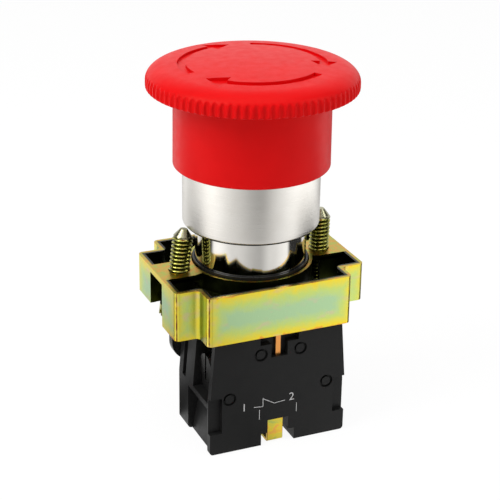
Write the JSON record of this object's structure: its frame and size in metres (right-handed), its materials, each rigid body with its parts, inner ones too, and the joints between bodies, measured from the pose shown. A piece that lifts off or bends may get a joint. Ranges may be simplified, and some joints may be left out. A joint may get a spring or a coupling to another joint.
{
  "type": "emergency stop push button",
  "caption": "Mushroom-headed emergency stop push button with a latching twist-to-release head, panel mounting base and screwed contact block.",
  "frame": {"origin": "centre of the panel hole, on the front of the panel where the gasket seats", "axes": "+Z out of the panel along the button, X along the mounting base, -Y the side that shows the face of the contact block"},
  "size_m": [0.04, 0.04, 0.0734],
  "materials": {
    "cap": "glossy red moulded plastic",
    "inner_plastic": "plain moulded plastic",
    "steel": "turned steel",
    "spring": "drawn steel wire",
    "seal": "black moulded rubber",
    "barrel": "polished plated metal",
    "bezel": "satin plated metal",
    "base": "yellow passivated plating over die-cast metal",
    "screws": "plated steel",
    "ring": "black moulded plastic",
    "housing": "black moulded plastic",
    "dowels": "black moulded plastic",
    "clip": "yellow passivated steel strip",
    "contacts": "plain brass strip",
    "tips": "silver alloy",
    "terminal": "plated steel"
  },
  "bodies": {
    "housing": {"head_barrel": "barrel", "bezel_ring": "bezel", "panel_gasket": "seal", "sleeve_seal": "seal", "return_spring": "spring", "mounting_base": "base", "clamp_screw_left": "screws", "clamp_screw_right": "screws", "housing_front": "housing", "housing_rear": "housing", "housing_dowels": "dowels", "fixing_clip": "clip", "fixed_contact_left": "contacts", "fixed_contact_right": "contacts", "fixed_tips": "tips", "terminal_clamp_left": "terminal", "terminal_clamp_right": "terminal", "terminal_screw_left": "terminal", "terminal_screw_right": "terminal", "plunger_spring": "spring"},
    "pusher": {"pusher": "inner_plastic", "spindle": "steel", "spindle_clip": "steel", "latch_springs": "spring", "twist_spring": "spring"},
    "button": {"mushroom_cap": "cap", "turn_sleeve": "inner_plastic"},
    "latch_left": {"latch_pin_left": "steel"},
    "latch_right": {"latch_pin_right": "steel"},
    "contact_carrier": {"contact_plunger": "inner_plastic", "contact_bridge": "contacts", "bridge_tips": "tips", "bridge_spring": "spring"},
    "locking_ring": {"locking_ring": "ring"}
  },
  "joints": [
    {"name": "button_press", "type": "slide", "parent": "housing", "child": "pusher", "axis": [0, 0, -1], "range_m": [0, 0.0043], "stiffness_N_per_m": 600, "springref_m": -0.01, "deforming": ["return_spring"]},
    {"name": "button_twist", "type": "hinge", "parent": "pusher", "child": "button", "pos_m": [0, 0, 0], "axis": [0, 0, -1], "range_deg": [0, 45], "stiffness_Nm_per_rad": 0.02, "springref_deg": -17.19},
    {"name": "latch_left", "type": "slide", "parent": "pusher", "child": "latch_left", "axis": [-1, 0, 0], "range_m": [0, 0.0005]},
    {"name": "latch_right", "type": "slide", "parent": "pusher", "child": "latch_right", "axis": [1, 0, 0], "range_m": [0, 0.0005]},
    {"name": "contact_push", "type": "slide", "parent": "housing", "child": "contact_carrier", "axis": [0, 0, -1], "range_m": [0, 0.0043], "deforming": ["plunger_spring"]},
    {"name": "lock_turn", "type": "hinge", "parent": "housing", "child": "locking_ring", "pos_m": [0, 0, -0.01], "axis": [0, 0, -1], "range_deg": [0, 35]}
  ],
  "couplings": [
    {"joint": "latch_right", "follows": "latch_left", "ratio": 1},
    {"joint": "contact_push", "follows": "button_press", "ratio": 1}
  ]
}
